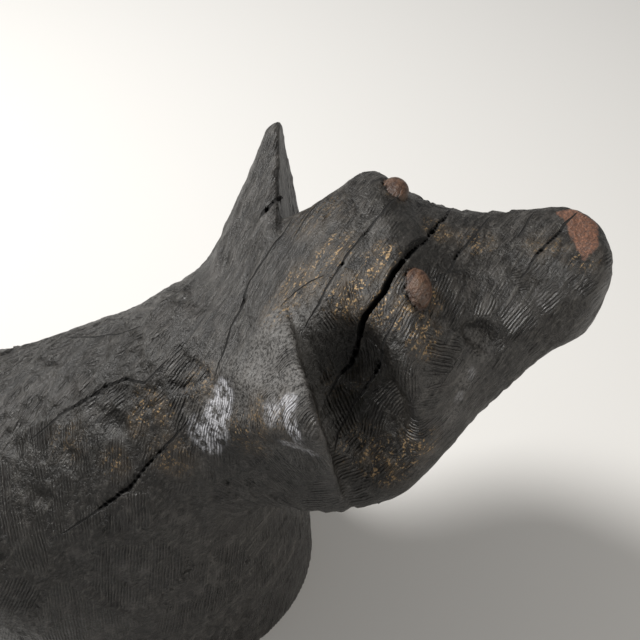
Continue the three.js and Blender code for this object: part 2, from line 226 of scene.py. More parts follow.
# ---- the form ---------------------------------------------------------------------------------
def head_values(forward):
    """The head's cross-section at each place: top, widest level, half width, drop."""
    x = HEAD[:, 0]
    u = np.clip(forward, x[0], x[-1])
    i = np.clip(np.searchsorted(x, u) - 1, 0, len(x) - 2)
    run = x[i + 1] - x[i]
    t = (u - x[i]) / run
    found = []
    for column in range(1, 5):
        y = HEAD[:, column]
        slope = np.empty(len(x))
        slope[1:-1] = (y[2:] - y[:-2]) / (x[2:] - x[:-2])
        slope[0] = (y[1] - y[0]) / (x[1] - x[0])
        slope[-1] = (y[-1] - y[-2]) / (x[-1] - x[-2])
        found.append(
            (2 * t**3 - 3 * t**2 + 1) * y[i]
            + (t**3 - 2 * t**2 + t) * run * slope[i]
            + (-2 * t**3 + 3 * t**2) * y[i + 1]
            + (t**3 - t**2) * run * slope[i + 1]
        )
    return found


def head(forward, side, up):
    top, widest, half_width, drop = head_values(forward)
    rise = up - widest
    half_height = np.where(rise > 0, top - widest, drop)
    n = HEAD_SQUARENESS
    a = np.abs(side) / half_width
    b = np.abs(rise) / half_height
    r = (a**n + b**n) ** (1 / n) + 1e-9
    steep = r ** (1 - n) * np.hypot(a ** (n - 1) / half_width, b ** (n - 1) / half_height)
    d = 0.85 * np.clip((r - 1) / (steep + 1e-6), -200, 400)
    for slope, at_forward, at_up in SNOUT_CUTS:
        d = smooth_max(d, turned(forward - at_forward, up - at_up, slope)[0], 12)
    turn, at_forward, at_side = SNOUT_CORNER
    d = smooth_max(d, turned(forward - at_forward, np.abs(side) - at_side, turn)[0], 14)
    return smooth_max(d, NAPE_END - forward, 50)


EAR_LINE = unit(EAR_FOOT - EAR_TOP)
EAR_FRONT = unit(np.cross(EAR_FOOT - EAR_TOP, EAR_TIP - EAR_TOP))
EAR_FRONT = EAR_FRONT * np.sign(EAR_FRONT[0])
EAR_OUT = np.cross(EAR_LINE, EAR_FRONT)
EAR_OUT = EAR_OUT * np.sign(EAR_OUT[1])
HOLLOW_AT = (EAR_TOP + EAR_FOOT) / 2 + HOLLOW_AHEAD * EAR_FRONT + HOLLOW_OUT * EAR_OUT


def ear(p):
    top = EAR_TOP + [-6, -4, -16]
    foot = EAR_FOOT + [-4, -10, 0]
    tip = EAR_TIP + [0, -9, -7]
    low = np.array([-152.0, 86.0, -112.0])
    high = np.array([-140.0, 66.0, -76.0])
    d = sheet(p, top, foot, tip)
    for corners in ((tip, foot, low), (tip, low, high), (tip, high, top)):
        d = smooth_min(d, sheet(p, *corners), 12)
    return d - EAR_THICK


def hollow(p):
    offset = p - HOLLOW_AT
    return ellipsoid(offset @ EAR_LINE, offset @ EAR_FRONT, offset @ EAR_OUT, HOLLOW_HALF)


def body(p):
    forward, side, up = p.T
    d = None
    for (f0, u0, r0), (f1, u1, r1), reach in zip(NECK, NECK[1:], (1, 20, 30)):
        piece = bar(p, np.array([f0, 0.0, u0]), np.array([f1, 0.0, u1]), r0, r1)
        d = piece if d is None else smooth_min(d, piece, reach)
    ring = np.hypot((forward + 250) / LOG_HALF[0], side / LOG_HALF[1])
    log = smooth_max((ring - 1) * LOG_HALF[1], up - LOG_TOP, 80)
    d = smooth_min(d, log, 50)
    return smooth_max(d, BACK_CUT - forward, 50)


def eye(forward, side, up, grow=0.0):
    b, c = turned(side - EYE_AT[1], up - EYE_AT[2], -EYE_LEAN)
    return ellipsoid(forward - EYE_AT[0], b, c, [half + grow for half in EYE_HALF])


def smooth_form(p):
    """Distance to the carving with no tool marks. p holds forward, side and up."""
    forward, right, up = p.T
    side = np.hypot(right, 2)
    q = np.stack([forward, side, up], 1)
    skull = head(forward, side, up)
    trunk = body(q)
    face = smooth_min(smooth_max(skull, -hollow(q), 24), trunk, 22)
    whole = smooth_min(smooth_min(skull, ear(q), 20), trunk, 22)
    d = smooth_min(face, smooth_max(whole, (q - EAR_TIP) @ EAR_FRONT, 4), 5)
    for at, half, turn in SCOOPS:
        a, b = turned(forward - at[0], right - at[1], turn)
        d = smooth_max(d, -ellipsoid(a, b, up - at[2], half), 5)
    socket = np.abs(eye(forward, side, up)) - 1.4
    d = smooth_max(d, -socket, 1.5)
    d = smooth_min(d, eye(forward, side, up), 0.8)
    return np.maximum(d, -(up + BROW_HEIGHT - FLOOR))


# ---- cracks -----------------------------------------------------------------------------------
def surface_height(points):
    """The level at which a plumb line first touches the carving, for (forward, side) places."""
    p = np.array([[f, s, 40.0] for f, s in points])
    for _ in range(260):
        d = smooth_form(p)
        p[:, 2] -= np.where(d < 0.05, 0, np.maximum(0.35 * d, 0.05))
    return p


def slope_of(function, p, step=0.4):
    g = np.empty_like(p)
    for axis in range(3):
        e = np.zeros(3)
        e[axis] = step
        g[:, axis] = function(p + e) - function(p - e)
    return g / (np.linalg.norm(g, axis=1, keepdims=True) + 1e-12)


def crack_lines():
    lines = []
    for width, depth, path in CRACKS:
        on = surface_height(path)
        lines.append((width, depth, on, slope_of(smooth_form, on)))
    return lines


def wandering(p):
    """Cracks follow the fibres, so they wander and step a little."""
    big = np.stack([noise(p, 17, 3.1), noise(p, 17, 9.7), noise(p, 17, 5.3)], 1)
    small = np.stack([noise(p, 5, 13.1), noise(p, 5, 19.7), noise(p, 5, 15.3)], 1)
    return p + 0.9 * big + 0.4 * small


def crack_measure(p, lines):
    """For each point: signed distance across the nearest crack, its half width and its depth."""
    across = np.full(len(p), 60.0)
    half = np.zeros(len(p))
    deep = np.full(len(p), 10.0)
    best = np.full(len(p), 60.0)
    q = wandering(p)
    for width, depth, on, out in lines:
        low = on.min(0) - 45
        high = on.max(0) + 25
        near = np.where(((q > low) & (q < high)).all(1))[0]
        if len(near) == 0:
            continue
        r = q[near]
        length = np.concatenate([[0], np.cumsum(np.linalg.norm(np.diff(on, axis=0), axis=1))])
        for i in range(len(on) - 1):
            run = on[i + 1] - on[i]
            size = np.linalg.norm(run)
            along = run / size
            binormal = unit(np.cross(out[i] + out[i + 1], along))
            offset = r - on[i]
            t = offset @ along
            over = np.maximum(np.maximum(-t, t - size), 0)
            sideways = offset @ binormal
            gap = np.hypot(sideways, over * 1.0)
            place = (length[i] + np.clip(t, 0, size)) / length[-1]
            open_here = 0.5 * width * np.maximum(np.sin(np.pi * (0.04 + 0.92 * place)), 0) ** 0.65
            closer = gap < best[near]
            hit = near[closer]
            best[hit] = gap[closer]
            across[hit] = np.where(sideways >= 0, 1, -1)[closer] * gap[closer]
            half[hit] = open_here[closer]
            deep[hit] = depth
    half *= 1 + 0.35 * noise(p, 9, 31.0)
    return across, half, deep


# ---- tool marks -------------------------------------------------------------------------------
# Where the strokes run: place, direction, the radius of the saw's arc or 0, and how they look:
# 1 fine and long, 2 scored by the chain's cutters, 3 flowing scallops
STROKES = [
    ((-83, -24, -11), (0.66, -0.61, 0.44), 0, 1),
    ((-54, -27, 5), (0.62, -0.77, 0.15), 0, 1),
    ((-24, -42, 10), (0.57, -0.82, -0.01), 0, 1),
    ((-63, 20, 2), (0.63, -0.68, 0.36), 0, 1),
    ((-9, -1, 14), (0.53, -0.84, -0.12), 0, 1),
    ((-71, 53, -8), (0.22, 0.93, -0.29), 0, 2),
    ((-51, 62, -1), (0.09, 0.9, -0.42), 0, 2),
    ((-31, 67, 3), (-0.21, 0.91, -0.36), 48, 2),
    ((-20, 91, -7), (-0.43, 0.72, -0.54), 64, 2),
    ((26, -11, -9), (0.5, -0.83, -0.26), 0, 1),
    ((-88, 24, -15), (0.62, -0.61, 0.5), 0, 1),
    ((-106, -2, -27), (0.56, -0.73, 0.39), 0, 1),
    ((-111, -69, -28), (0.56, -0.7, 0.45), 0, 1),
    ((-117, -119, -31), (0.41, -0.79, 0.46), 0, 1),
    ((-100, -126, -16), (0.34, -0.88, 0.33), 0, 1),
    ((-76, 81, -59), (0.36, 0.34, -0.87), 0, 2),
    ((-59, 93, -84), (0.34, 0.52, -0.78), 0, 2),
    ((-46, 79, -52), (0.07, 0.32, -0.94), 0, 2),
    ((-28, 106, -90), (-0.41, 0.3, -0.86), 56, 2),
    ((-17, 113, -27), (-0.23, 0.51, -0.83), 72, 2),
    ((8, 103, -31), (0.77, -0.24, -0.6), 0, 2),
    ((11, 119, -60), (0.8, -0.48, -0.35), 0, 2),
    ((3, 131, -82), (0.85, -0.46, 0.25), 0, 2),
    ((-38, 127, -120), (0.73, -0.36, 0.59), 0, 2),
    ((-59, 137, -131), (0.97, -0.21, 0.1), 0, 2),
    ((34, 104, -63), (0.63, -0.63, 0.46), -160, 2),
    ((57, 80, -46), (0.68, -0.63, 0.39), -160, 2),
    ((83, 64, -37), (0.72, -0.55, 0.43), -160, 2),
    ((109, 50, -25), (0.8, -0.44, 0.4), -160, 2),
    ((134, 43, -19), (0.85, -0.45, 0.28), 0, 2),
    ((96, 32, -20), (0.9, -0.36, 0.24), 48, 2),
    ((54, 42, -23), (0.45, -0.88, 0.14), 0, 2),
    ((27, 55, -17), (0.5, -0.86, 0.03), 0, 2),
    ((55, -5, -19), (0.57, -0.81, -0.1), 0, 1),
    ((91, -19, -18), (0.66, -0.75, 0.02), 0, 1),
    ((123, -14, -11), (0.73, -0.69, 0.05), 0, 1),
    ((74, 23, -21), (0.65, -0.75, 0.11), 0, 1),
    ((123, 20, -12), (0.76, -0.61, 0.2), 0, 1),
    ((-115, 60, -30), (-0.65, 0.44, -0.62), 0, 1),
    ((-129, 86, -45), (-0.65, 0.69, -0.32), 0, 1),
    ((-107, 107, -23), (-0.71, 0.26, -0.66), 0, 2),
    ((-114, 151, -38), (-0.14, 0.12, -0.98), 0, 2),
    ((-100, 149, -75), (0.23, -0.2, -0.95), 0, 2),
    ((-135, 121, -62), (-0.18, 0.76, -0.62), 0, 2),
    ((-154, 86, -79), (-0.18, 0.68, -0.71), 0, 2),
    ((-164, 103, -109), (-0.08, 0.28, -0.96), 0, 2),
    ((-122, 128, -108), (0.59, 0.3, -0.75), 0, 2),
    ((-158, 22, -67), (-0.56, 0.72, -0.41), 0, 1),
    ((-147, -29, -62), (-0.51, 0.84, -0.2), 0, 1),
    ((-178, -9, -75), (-0.72, 0.67, -0.2), 0, 3),
    ((-204, 4, -82), (-0.79, 0.54, -0.29), 0, 3),
    ((-231, 9, -99), (-0.77, 0.07, -0.63), 0, 3),
    ((-260, -11, -119), (-0.86, 0.0, -0.51), 0, 3),
    ((-300, -38, -145), (-0.93, 0.12, -0.35), 0, 3),
    ((-339, -45, -163), (-0.72, 0.69, -0.0), 0, 3),
    ((-189, 45, -87), (-0.66, 0.58, -0.48), 0, 3),
    ((-216, 54, -105), (-0.63, 0.32, -0.7), 0, 3),
    ((-251, 43, -122), (-0.75, 0.33, -0.58), 0, 3),
    ((-287, 18, -135), (-0.65, 0.63, -0.43), 0, 3),
    ((-324, 13, -150), (-0.49, 0.83, -0.27), 0, 3),
    ((-192, 78, -111), (-0.37, 0.58, -0.73), 0, 2),
    ((-187, 100, -137), (-0.17, 0.33, -0.93), 0, 2),
    ((-219, 80, -133), (-0.28, 0.53, -0.8), 0, 2),
    ((-246, 90, -157), (-0.09, 0.64, -0.76), 0, 2),
    ((-279, 69, -152), (0.04, 0.83, -0.56), 0, 2),
    ((-315, 60, -160), (0.07, 0.9, -0.43), 0, 2),
    ((-335, 89, -189), (0.07, 0.75, -0.66), 0, 2),
    ((-291, 98, -182), (0.0, 0.67, -0.75), 0, 2),
    ((-241, 112, -185), (-0.1, 0.47, -0.88), 0, 2),
    ((-199, 111, -178), (-0.25, 0.28, -0.93), 0, 2),
    ((-149, 120, -173), (0.88, 0.16, -0.44), 0, 3),
]
HIDDEN_STROKES = 46


def hidden_strokes():
    """Plainer strokes for the far side, the throat, the chest and the rear."""
    rng = np.random.default_rng(7)
    found = []
    while len(found) < HIDDEN_STROKES:
        forward = rng.uniform(-420, 170)
        side = rng.uniform(-170, 170)
        up = rng.uniform(-420, 10)
        p = np.array([[forward, side, up]])
        d = smooth_form(p)[0]
        if abs(d) > 60:
            continue
        p = p - d * slope_of(smooth_form, p)
        gaps = [np.linalg.norm(p[0] - s[0]) for s in STROKES + found]
        if min(gaps) < 46:
            continue
        direction = unit(np.array([rng.uniform(-0.7, 0.2), rng.uniform(-0.4, 0.4), -1.0]))
        found.append((tuple(p[0]), tuple(direction), 0, 2 if rng.random() < 0.6 else 3))
    return found


def stroke_measure(p, out, strokes):
    """The nearest stroke patch of each point: position across it, along it, its look and edge."""
    ragged = p + 5.0 * np.stack([noise(p, 14, 1.0), noise(p, 14, 2.0), noise(p, 14, 3.0)], 1)
    best = np.full(len(p), 1e9)
    second = np.full(len(p), 1e9)
    which = np.zeros(len(p), int)
    for i, (at, direction, _, _) in enumerate(strokes):
        offset = ragged - np.array(at)
        along = offset @ np.array(direction)
        gap = np.sqrt((offset**2).sum(1) - 0.45 * along**2)
        closer = gap < best
        second = np.where(closer, best, np.minimum(second, gap))
        best = np.where(closer, gap, best)
        which = np.where(closer, i, which)
    at = np.array([s[0] for s in strokes], float)[which]
    direction = np.array([s[1] for s in strokes], float)[which]
    radius = np.array([s[2] for s in strokes], float)[which]
    look = np.array([s[3] for s in strokes])[which]
    patch_out = slope_of(smooth_form, np.array([s[0] for s in strokes], float))[which]
    binormal = np.cross(patch_out, direction)
    binormal /= np.linalg.norm(binormal, axis=1, keepdims=True) + 1e-9
    offset = p - at
    along = (offset * direction).sum(1)
    across = (offset * binormal).sum(1)
    bent = across + np.where(radius != 0, along**2 / (2 * np.where(radius == 0, 1, radius)), 0)
    return bent, along, look, second - best, which


def tool_relief(p, bent, along, look, edge, which):
    """How deep the marks lie below the form, in millimetres."""
    random = np.random.default_rng(3).uniform(-1, 1, 400)
    sway = 3.2 * noise(p, 22, 7.0) + 1.3 * noise(p, 8, 8.0)
    width = np.where(look == 3, 11.0, np.where(look == 2, 8.5, 10.0)) * (1 + 0.18 * random[which])
    phase = (bent + sway) / width
    scallop = np.abs(np.sin(np.pi * phase))
    row = np.floor(phase)
    stagger = 37.0 * np.sin(row * 12.9898 + which)
    stop = ((along + stagger) / np.where(look == 3, 26.0, 40.0)) % 1.0
    bite = ramp(stop, 0, 0.16) * (1 - 0.75 * ramp(stop, 0.3, 1.0))
    groove = np.where(look == 3, 0.55, np.where(look == 2, 0.34, 0.16))
    depth = groove * (1.4 * (1 - scallop) + np.where(look == 3, 2.6, 1.2) * bite)
    facet = 0.7 * random[which] * np.clip(bent, -30, 30) / 30 + 0.5 * noise(p, 34, 11.0)
    inside = ramp(edge, 0, 9)
    return 0.18 + (depth + facet - 0.18) * inside + 0.22 * noise(p, 6, 14.0)


# ---- from the form to a closed surface ----------------------------------------------------------
def grid_lines(stops):
    lines = [np.array([stops[0][0]])]
    for (start, _), (end, step) in zip(stops, stops[1:]):
        parts = max(1, round((end - start) / step))
        lines.append(start + (end - start) * np.arange(1, parts + 1) / parts)
    return np.concatenate(lines)


THINNEST_CUT = 1.1  # cracks with less than this on each side are drawn and not cut, in mm


def solid_at(p, lines):
    """The form with its cracks cut in."""
    d = smooth_form(p)
    across, half, deep = crack_measure(p, lines)
    taper = np.clip(1 + d / deep, 0, 1.25)
    wall = 0.9 * (np.abs(across) - np.where(half > THINNEST_CUT, half, -9.0) * taper)
    wall = np.where(taper <= 0, 10.0, wall)
    shallow = -(d + deep)
    return np.maximum(d, -np.maximum(wall, shallow))


def closed_surface(lines):
    fine, coarse = FINE_STEP, COARSE_STEP
    fs = grid_lines([(-440, 0), (-340, coarse), (-200, 0.5 * (fine + coarse)), (192, fine)])
    ss = grid_lines([(-192, 0), (-60, 0.5 * (fine + coarse)), (192, fine)])
    us = grid_lines([(FLOOR - BROW_HEIGHT - 9, 0), (-250, coarse), (-180, 0.5 * (fine + coarse)), (26, fine)])
    shape = (len(fs), len(ss), len(us))
    F, S, U = np.meshgrid(fs, ss, us, indexing="ij")
    nodes = np.stack([F.ravel(), S.ravel(), U.ravel()], 1)
    # a first look on every third line finds where the surface runs
    third = (fs[::3], ss[::3], us[::3])
    rough_nodes = np.stack([g.ravel() for g in np.meshgrid(*third, indexing="ij")], 1)
    rough = smooth_form(rough_nodes).reshape([len(t) for t in third])
    spread = rough[np.minimum(np.arange(shape[0]) // 3, rough.shape[0] - 1)][
        :, np.minimum(np.arange(shape[1]) // 3, rough.shape[1] - 1)][
        :, :, np.minimum(np.arange(shape[2]) // 3, rough.shape[2] - 1)]
    value = spread.ravel().copy()
    near = np.where(np.abs(value) < 36)[0]
    value[near] = smooth_form(nodes[near])
    skin = np.where((value < 6) & (value > -34))[0]
    for chunk in np.array_split(skin, max(1, len(skin) // 400000)):
        value[chunk] = solid_at(nodes[chunk], lines)
    value = value.reshape(shape)
    inside = value < 0
    # one vertex in every cell that the surface passes through
    count = np.zeros([n - 1 for n in shape], np.int32)
    total = np.zeros([n - 1 for n in shape] + [3])
    axes = (fs, ss, us)
    flips = []
    for axis in range(3):
        a = [slice(None)] * 3
        b = [slice(None)] * 3
        a[axis] = slice(0, -1)
        b[axis] = slice(1, None)
        va, vb = value[tuple(a)], value[tuple(b)]
        flip = (va < 0) != (vb < 0)
        flips.append(flip)
        where = np.argwhere(flip)
        t = va[flip] / (va[flip] - vb[flip])
        point = np.stack([axes[k][where[:, k]] for k in range(3)], 1)
        step = axes[axis][where[:, axis] + 1] - axes[axis][where[:, axis]]
        point[:, axis] += t * step
        others = [k for k in range(3) if k != axis]
        for i in (0, 1):
            for j in (0, 1):
                cell = where.copy()
                cell[:, others[0]] -= i
                cell[:, others[1]] -= j
                ok = ((cell >= 0) & (cell < np.array(count.shape))).all(1)
                c = tuple(cell[ok].T)
                np.add.at(count, c, 1)
                for k in range(3):
                    np.add.at(total[..., k], c, point[ok, k])
    used = count > 0
    number = np.full(count.shape, -1)
    number[used] = np.arange(used.sum())
    points = total[used] / count[used][:, None]
    quads = []
    for axis in range(3):
        where = np.argwhere(flips[axis])
        others = [(axis + 1) % 3, (axis + 2) % 3]
        ring = []
        for i, j in ((0, 0), (1, 0), (1, 1), (0, 1)):
            cell = where.copy()
            cell[:, others[0]] -= i
            cell[:, others[1]] -= j
            ring.append(number[tuple(cell.T)])
        ring = np.stack(ring, 1)
        outward = inside[tuple(where.T)]
        # the form's axes are left-handed in the frame, so the order is the other way about
        ring[outward] = ring[outward][:, ::-1]
        quads.append(ring)
    return points, np.concatenate(quads)


FINE_STEP = 2.6
COARSE_STEP = 5.2


# ---- the carving ------------------------------------------------------------------------------
# Where the blackening is worn through to ochre wood: place, reach, strength
OCHRE = [
    ((-87, 24, -14), 26, 0.7), ((-52, 55, -1), 26, 0.9), ((-26, 34, 11), 22, 0.9),
    ((-60, 10, 5), 24, 0.7), ((-15, 75, 2), 24, 1.0), ((2, 92, -14), 22, 0.8),
    ((-30, 70, 0), 22, 0.7), ((30, -20, -8), 18, 0.7), ((60, -10, -18), 20, 0.5),
    ((-49, 118, -112), 22, 0.9), ((-30, 130, -121), 24, 0.9), ((-4, 134, -100), 22, 0.8),
    ((-60, 84, -70), 26, 0.5), ((-100, 140, -40), 24, 0.6), ((-120, 120, -60), 24, 0.6),
    ((-135, 115, -90), 26, 0.6), ((-221, 55, -109), 16, 0.8), ((-208, 68, -111), 14, 0.8),
    ((-229, 67, -125), 14, 0.8), ((-251, 85, -153), 16, 0.7), ((-200, 90, -140), 26, 0.5),
    ((-170, 60, -90), 24, 0.4), ((14, 62, -4), 16, 0.9), ((112, 6, -12), 20, 0.4),
    ((140, 22, -12), 18, 0.6), ((-110, 40, -25), 22, 0.6), ((-290, 60, -150), 26, 0.35),
    ((-3, 62, 7), 22, 0.6), ((3, -52, 8), 20, 0.5), ((-70, -40, 0), 40, 0.3),
]
# Where it is scuffed to a whitish grey, and where a painted highlight lies along the jaw's ridge (the two
# small spots on the jaw)
SCUFFS_AND_HIGHLIGHT = [
    ((-162, 90, -90), 20, 1.0), ((-155, 81, -78), 16, 0.9), ((-171, 100, -112), 18, 0.9),
    ((-178, 90, -110), 16, 0.6), ((-108, 143, -25), 15, 1.0), ((-101, 160, -28), 14, 1.0),
    ((-98, 160, -52), 14, 0.9), ((-120, 133, -40), 14, 0.6), ((-105, 150, -60), 14, 0.7),
    ((30, 110, -72), 9, 0.4), ((40, 98, -58), 9, 0.4), ((-160, 100, -100), 16, 0.7),
]
# Where a highlight is painted as pale speckle: the lit back of the near ear, its lower rim and the jaw's
# ridge
PAINTED_HIGHLIGHT = [
    ((-112, 70, -30), 42, 1.0), ((-130, 95, -50), 40, 1.0), ((-108, 122, -24), 36, 1.0),
    ((-150, 70, -75), 36, 0.7), ((-112, 135, -92), 24, 0.8), ((-100, 128, -112), 20, 0.8),
    ((50, 82, -46), 14, 0.7), ((36, 100, -61), 14, 0.7), ((22, 118, -86), 14, 0.6),
]
# Where shade is painted near-black: the hollow before the near ear, between the eyes, the muzzle's scoops and
# the neck under the head
PAINTED_SHADE = [
    ((14, 8, 0), 26, 0.45), ((108, 32, -21), 18, 0.5), ((-22, 96, -34), 26, 0.35),
    ((4, -20, 4), 26, 0.4), ((96, 44, -26), 14, 0.4), ((-240, 30, -115), 60, 0.35),
    ((-300, 60, -160), 70, 0.4), ((-300, -30, -140), 60, 0.3), ((-60, 110, -150), 60, 0.5),
    ((-76, 81, -59), 34, 1.0), ((-64, 92, -82), 34, 1.0), ((-52, 82, -60), 26, 0.8),
    ((-86, 66, -38), 20, 0.7), ((-60, 108, -104), 26, 0.8),
]
# The nose's bare reddish pad, as forward and side round its edge
NOSE_PAD = [(134, -34), (150, -36), (163, -16), (158, 14), (142, 24), (136, 4)]


def patches(p, spots):
    amount = np.zeros(len(p))
    for at, reach, strength in spots:
        gap = np.linalg.norm(p - np.array(at, float), axis=1)
        amount = np.maximum(amount, strength * (1 - ramp(gap, 0.35 * reach, 1.25 * reach)))
    return amount


def inside_outline(p, outline):
    """Signed distance to a closed outline in forward and side, less than 0 inside."""
    q = p[:, :2]
    edge = np.full(len(q), 1e9)
    turns = np.zeros(len(q), int)
    for a, b in zip(outline, outline[1:] + outline[:1]):
        a, b = np.array(a, float), np.array(b, float)
        run = b - a
        offset = q - a
        t = np.clip(offset @ run / (run @ run), 0, 1)
        edge = np.minimum(edge, np.linalg.norm(offset - t[:, None] * run, axis=1))
        crosses = (a[1] > q[:, 1]) != (b[1] > q[:, 1])
        at = a[0] + (q[:, 1] - a[1]) / (run[1] if run[1] else 1e-9) * run[0]
        turns += crosses & (q[:, 0] < at)
    return np.where(turns % 2 == 1, -edge, edge)


def to_frame(p):
    """From forward, side and up in millimetres to the row frame in metres."""
    x, y, z = -p[:, 1], -p[:, 0] - BROW_FORWARD, p[:, 2] + BROW_HEIGHT
    return np.stack([x, y, z], 1) / 1000.0


def point_layer(mesh, name, values):
    layer = mesh.attributes.new(name, "FLOAT", "POINT")
    layer.data.foreach_set("value", np.asarray(values, np.float32))


RELIEF = 1.8  # how deep the tool marks go
SCORES_SHOWN = np.array([0, 0.30, 1.0, 0.45])  # how much the chain's scores show, for each look


def settled(points, lines):
    """Brings the points that stand outside the cracks exactly onto the form."""
    for _ in range(2):
        d = smooth_form(points)
        out = slope_of(smooth_form, points)
        across, half, _ = crack_measure(points, lines)
        free = (np.abs(across) > np.maximum(half, 1.0) + 1.2) & (np.abs(d) < 3)
        points = points - np.where(free, 0.9 * d, 0)[:, None] * out
    return points, across, half


def surface_mesh(points, quads):
    """A smooth-shaded mesh with its faces outward."""
    place = to_frame(points)
    corner = place[quads]
    normal = np.cross(corner[:, 1] - corner[:, 0], corner[:, 2] - corner[:, 0])
    if (normal * corner.mean(1)).sum() < 0:
        quads = quads[:, ::-1]
    mesh = bpy.data.meshes.new("carved_bear_surface")
    mesh.vertices.add(len(place))
    mesh.vertices.foreach_set("co", place.ravel())
    mesh.loops.add(quads.size)
    mesh.loops.foreach_set("vertex_index", quads.ravel().astype(np.int32))
    mesh.polygons.add(len(quads))
    mesh.polygons.foreach_set("loop_start", np.arange(0, quads.size, 4, dtype=np.int32))
    mesh.polygons.foreach_set("loop_total", np.full(len(quads), 4, np.int32))
    mesh.update(calc_edges=True)
    mesh.validate()
    mesh.polygons.foreach_set("use_smooth", np.ones(len(mesh.polygons), bool))
    return mesh


def make_carving():
    lines = crack_lines()
    points, quads = closed_surface(lines)
    points, across, half = settled(points, lines)
    out = slope_of(smooth_form, points, 1.2)
    bent, along, look, edge, which = stroke_measure(points, out, STROKES + hidden_strokes())
    forward, right, up = points.T
    side = np.hypot(right, 2)
    eye_gap = eye(forward, side, up)
    near_eye = 1 - ramp(eye_gap, 0.5, 5)
    in_crack = 1 - ramp(np.abs(across) - half, 0.5, 3.0)
    on_base = 1 - ramp(up + BROW_HEIGHT - FLOOR, 1.0, 9.0)
    pad = inside_outline(points, NOSE_PAD)
    quiet = (1 - near_eye) * (1 - 0.8 * in_crack * (half > 0.3)) * (1 - on_base)
    quiet = quiet * (0.4 + 0.6 * ramp(pad, -3, 3))
    depth = tool_relief(points, bent, along, look, edge, which)
    points = points - (RELIEF * depth * quiet)[:, None] * out
    points[:, 2] = np.maximum(points[:, 2], FLOOR - BROW_HEIGHT)
    mesh = surface_mesh(points, quads)
    in_stroke = ramp(edge, 3, 9)
    for name, values in {
        "crack_across": across,
        "crack_half": half * (half > 0.3),
        "stroke": bent,
        "stroke_along": along + 17.0 * which,
        "stroke_look": SCORES_SHOWN[look] * in_stroke * (1 - near_eye),
        "in_stroke": in_stroke,
        "worn_ochre": patches(points, OCHRE),
        # white scuffs, and a painted highlight on the jaw's ridge
        "scuffed_and_highlight": patches(points, SCUFFS_AND_HIGHLIGHT),
        # painted shade in hollows and under the head
        "painted_shade": patches(points, PAINTED_SHADE),
        # painted highlight on the lit ear and jaw
        "painted_highlight": patches(points, PAINTED_HIGHLIGHT),
        "eye_mask": 1 - ramp(eye_gap, -0.6, 0.9),
        # painted shade in the groove round each eye
        "eye_groove_shade": 1 - ramp(eye_gap, 1.2, 5.0),
        "nose_pad": pad,
        "hollow": depth * quiet,
    }.items():
        point_layer(mesh, name, values)
    carving = bpy.data.objects.new("carved_bear_surface", mesh)
    bpy.context.scene.collection.objects.link(carving)
    return carving


# ---- the wood's look --------------------------------------------------------------------------
class Nodes:
    """A short way to write a shader's nodes."""

    def __init__(self, material):
        material.use_nodes = True
        self.tree = material.node_tree
        self.tree.nodes.clear()

    def new(self, kind, **settings):
        node = self.tree.nodes.new(kind)
        for key, value in settings.items():
            setattr(node, key, value)
        return node

    def put(self, socket, value):
        if isinstance(value, bpy.types.NodeSocket):
            self.tree.links.new(value, socket)
        else:
            socket.default_value = value

    def math(self, operation, *values, clamp=False):
        node = self.new("ShaderNodeMath", operation=operation, use_clamp=clamp)
        for socket, value in zip(node.inputs, values):
            self.put(socket, value)
        return node.outputs[0]

    def layer(self, name):
        return self.new("ShaderNodeAttribute", attribute_name=name).outputs["Fac"]

    def between(self, value, low, high):
        """0 below low, 1 above high, smooth in between. Low may be the larger."""
        node = self.new("ShaderNodeMapRange", interpolation_type="SMOOTHSTEP")
        flip = low > high
        self.put(node.inputs["Value"], value)
        node.inputs["From Min"].default_value = min(low, high)
        node.inputs["From Max"].default_value = max(low, high)
        node.inputs["To Min"].default_value = 1.0 if flip else 0.0
        node.inputs["To Max"].default_value = 0.0 if flip else 1.0
        return node.outputs["Result"]

    def mix(self, amount, a, b):
        node = self.new("ShaderNodeMix", data_type="RGBA")
        self.put(node.inputs["Factor"], amount)
        self.put(node.inputs[6], a)
        self.put(node.inputs[7], b)
        return node.outputs[2]

    def noise(self, vector, scale, detail=3.0, rough=0.55, distort=0.0):
        node = self.new("ShaderNodeTexNoise")
        self.put(node.inputs["Vector"], vector)
        node.inputs["Scale"].default_value = scale
        node.inputs["Detail"].default_value = detail
        node.inputs["Roughness"].default_value = rough
        node.inputs["Distortion"].default_value = distort
        return node.outputs["Fac"]


